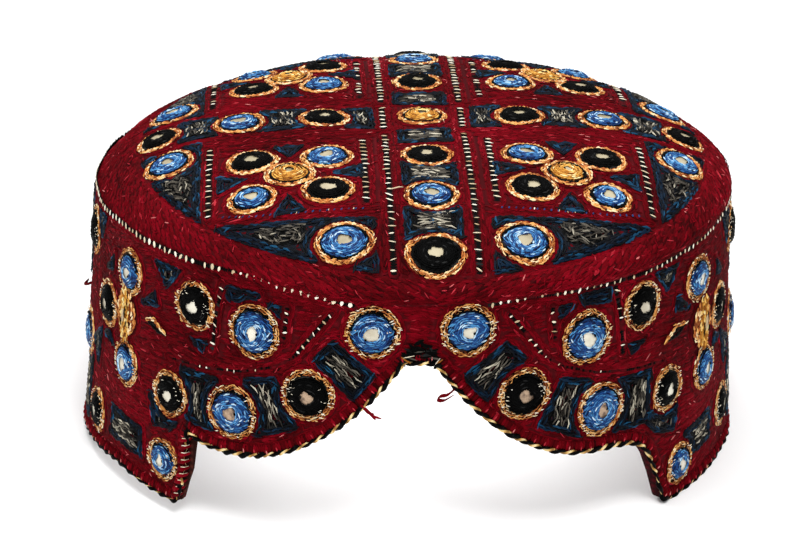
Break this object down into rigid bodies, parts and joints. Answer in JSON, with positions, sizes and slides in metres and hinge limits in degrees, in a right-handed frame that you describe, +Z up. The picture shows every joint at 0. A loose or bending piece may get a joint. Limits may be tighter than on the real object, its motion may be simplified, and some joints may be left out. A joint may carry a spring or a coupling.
{
  "type": "sindhi cap",
  "caption": "Round embroidered cap with a shallow domed crown, an upright side band, mirror rosettes and a front edge cut into scallops with a notch between two flaps.",
  "frame": {"origin": "on the standing surface, under the middle of the cap's own box", "axes": "+Z up through the crown, -Y to the front where the notch is, +X to the viewer's right"},
  "size_m": [0.189, 0.1864, 0.0918],
  "materials": {
    "crown_cloth": "crimson ground covered in dense thread embroidery in crimson, teal, blue, black and gold",
    "band_cloth": "crimson ground covered in the same embroidery, with small mirrors fused in",
    "hem_thread": "black and gold whip stitches along the cut edge",
    "lining_cloth": "plain dark brown cotton",
    "mirror_glass": "small hand-cut mirrors with a warm tint"
  },
  "bodies": {
    "root": {"crown_panel": "crown_cloth", "side_band": "band_cloth", "band_lining": "lining_cloth", "hem_binding": "hem_thread", "crown_mirror_1": "mirror_glass", "crown_mirror_2": "mirror_glass", "crown_mirror_3": "mirror_glass", "crown_mirror_4": "mirror_glass", "crown_mirror_5": "mirror_glass", "crown_mirror_6": "mirror_glass", "crown_mirror_7": "mirror_glass", "crown_mirror_8": "mirror_glass", "crown_mirror_9": "mirror_glass", "crown_mirror_10": "mirror_glass", "crown_mirror_11": "mirror_glass", "crown_mirror_12": "mirror_glass", "crown_mirror_13": "mirror_glass", "crown_mirror_14": "mirror_glass", "crown_mirror_15": "mirror_glass", "crown_mirror_16": "mirror_glass", "crown_mirror_17": "mirror_glass", "crown_mirror_18": "mirror_glass", "crown_mirror_19": "mirror_glass", "crown_mirror_20": "mirror_glass", "crown_mirror_21": "mirror_glass", "crown_mirror_22": "mirror_glass", "crown_mirror_23": "mirror_glass", "crown_mirror_24": "mirror_glass", "crown_mirror_25": "mirror_glass", "crown_mirror_26": "mirror_glass", "crown_mirror_27": "mirror_glass", "crown_mirror_28": "mirror_glass", "crown_mirror_29": "mirror_glass", "crown_mirror_30": "mirror_glass", "crown_mirror_31": "mirror_glass", "crown_mirror_32": "mirror_glass", "crown_mirror_33": "mirror_glass", "crown_mirror_34": "mirror_glass", "crown_mirror_35": "mirror_glass", "crown_mirror_36": "mirror_glass", "crown_mirror_37": "mirror_glass", "crown_mirror_38": "mirror_glass", "crown_mirror_39": "mirror_glass", "crown_mirror_40": "mirror_glass", "crown_mirror_41": "mirror_glass"}
  },
  "joints": []
}
